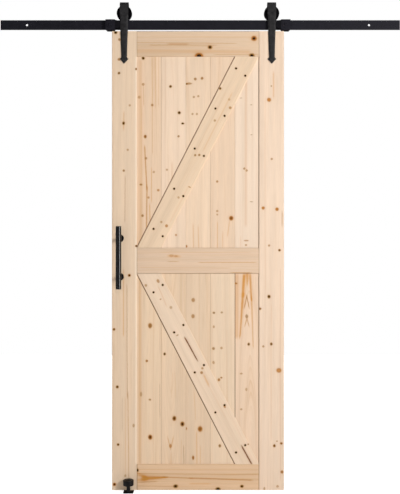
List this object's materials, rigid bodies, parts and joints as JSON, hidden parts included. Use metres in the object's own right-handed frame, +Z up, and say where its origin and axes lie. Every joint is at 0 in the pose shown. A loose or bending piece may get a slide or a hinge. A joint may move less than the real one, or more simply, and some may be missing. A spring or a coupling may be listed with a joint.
{
  "type": "sliding barn door",
  "caption": "Plank door with stiles, rails and diagonal braces, hung by strap hangers and grooved wheels from a flat wall track, with end stops, a pull handle and a floor guide.",
  "frame": {"origin": "on the floor under the middle of the door's front face, with the door in its pictured place", "axes": "+X along the track to the right as seen from the room, +Y from the room to the wall, +Z up"},
  "size_m": [1.774, 0.118, 2.1678],
  "materials": {
    "pine": "matt oiled",
    "powder_coated_steel": "satin black powder coat",
    "gloss_black_steel": "semi-gloss black enamel",
    "black_screws": "black oxide",
    "bronze": "sintered",
    "bumper_rubber": "matt",
    "black_nylon": "moulded",
    "zinc_steel": "zinc plated"
  },
  "bodies": {
    "frame": {"track_rail": "powder_coated_steel", "track_spacers": "powder_coated_steel", "guide_base": "powder_coated_steel", "guide_pad": "black_nylon", "guide_pillar": "gloss_black_steel", "guide_cap_screw": "gloss_black_steel"},
    "door": {"left_stile": "pine", "right_stile": "pine", "top_rail": "pine", "middle_rail": "pine", "bottom_rail": "pine", "upper_plank_1": "pine", "upper_plank_2": "pine", "upper_plank_3": "pine", "upper_plank_4": "pine", "upper_plank_5": "pine", "lower_plank_1": "pine", "lower_plank_2": "pine", "lower_plank_3": "pine", "lower_plank_4": "pine", "lower_plank_5": "pine", "upper_brace": "pine", "lower_brace": "pine", "upper_brace_screws": "black_screws", "lower_brace_screws": "black_screws", "left_hanger_strap": "powder_coated_steel", "right_hanger_strap": "powder_coated_steel", "strap_screws": "powder_coated_steel", "strap_washers": "zinc_steel", "strap_nuts": "zinc_steel", "left_axle_bolt": "powder_coated_steel", "right_axle_bolt": "powder_coated_steel", "left_axle_washers": "zinc_steel", "right_axle_washers": "zinc_steel", "left_axle_nut": "zinc_steel", "right_axle_nut": "zinc_steel", "handle_bar": "gloss_black_steel", "lower_handle_post": "gloss_black_steel", "upper_handle_post": "gloss_black_steel", "lower_handle_rose": "gloss_black_steel", "upper_handle_rose": "gloss_black_steel", "handle_screws": "zinc_steel"},
    "left_wheel_set": {"left_wheel": "powder_coated_steel", "left_wheel_bush": "bronze"},
    "right_wheel_set": {"right_wheel": "powder_coated_steel", "right_wheel_bush": "bronze"},
    "left_stop": {"left_stop_clip": "powder_coated_steel", "left_stop_bumper": "bumper_rubber", "left_stop_screw": "powder_coated_steel"},
    "right_stop": {"right_stop_clip": "powder_coated_steel", "right_stop_bumper": "bumper_rubber", "right_stop_screw": "powder_coated_steel"},
    "guide_roller": {"guide_roller": "gloss_black_steel"}
  },
  "joints": [
    {"name": "door_slide", "type": "slide", "parent": "frame", "child": "door", "axis": [1, 0, 0], "range_m": [-0.45, 0]},
    {"name": "left_wheel_spin", "type": "hinge", "parent": "door", "child": "left_wheel_set", "pos_m": [-0.327, 0.012, 2.1184], "axis": [0, 1, 0], "continuous": true},
    {"name": "right_wheel_spin", "type": "hinge", "parent": "door", "child": "right_wheel_set", "pos_m": [0.327, 0.012, 2.1184], "axis": [0, 1, 0], "continuous": true},
    {"name": "left_stop_slide", "type": "slide", "parent": "frame", "child": "left_stop", "axis": [1, 0, 0], "range_m": [-0.45, 0]},
    {"name": "right_stop_slide", "type": "slide", "parent": "frame", "child": "right_stop", "axis": [1, 0, 0], "range_m": [0, 0.48]},
    {"name": "guide_roller_spin", "type": "hinge", "parent": "frame", "child": "guide_roller", "pos_m": [-0.306, -0.0233, 0.0459], "axis": [0, 0, 1], "continuous": true}
  ],
  "couplings": [
    {"joint": "left_wheel_spin", "follows": "door_slide", "rad_per_m": 33.898},
    {"joint": "right_wheel_spin", "follows": "door_slide", "rad_per_m": 33.898},
    {"joint": "left_stop_slide", "follows": "door_slide", "ratio": 1}
  ]
}
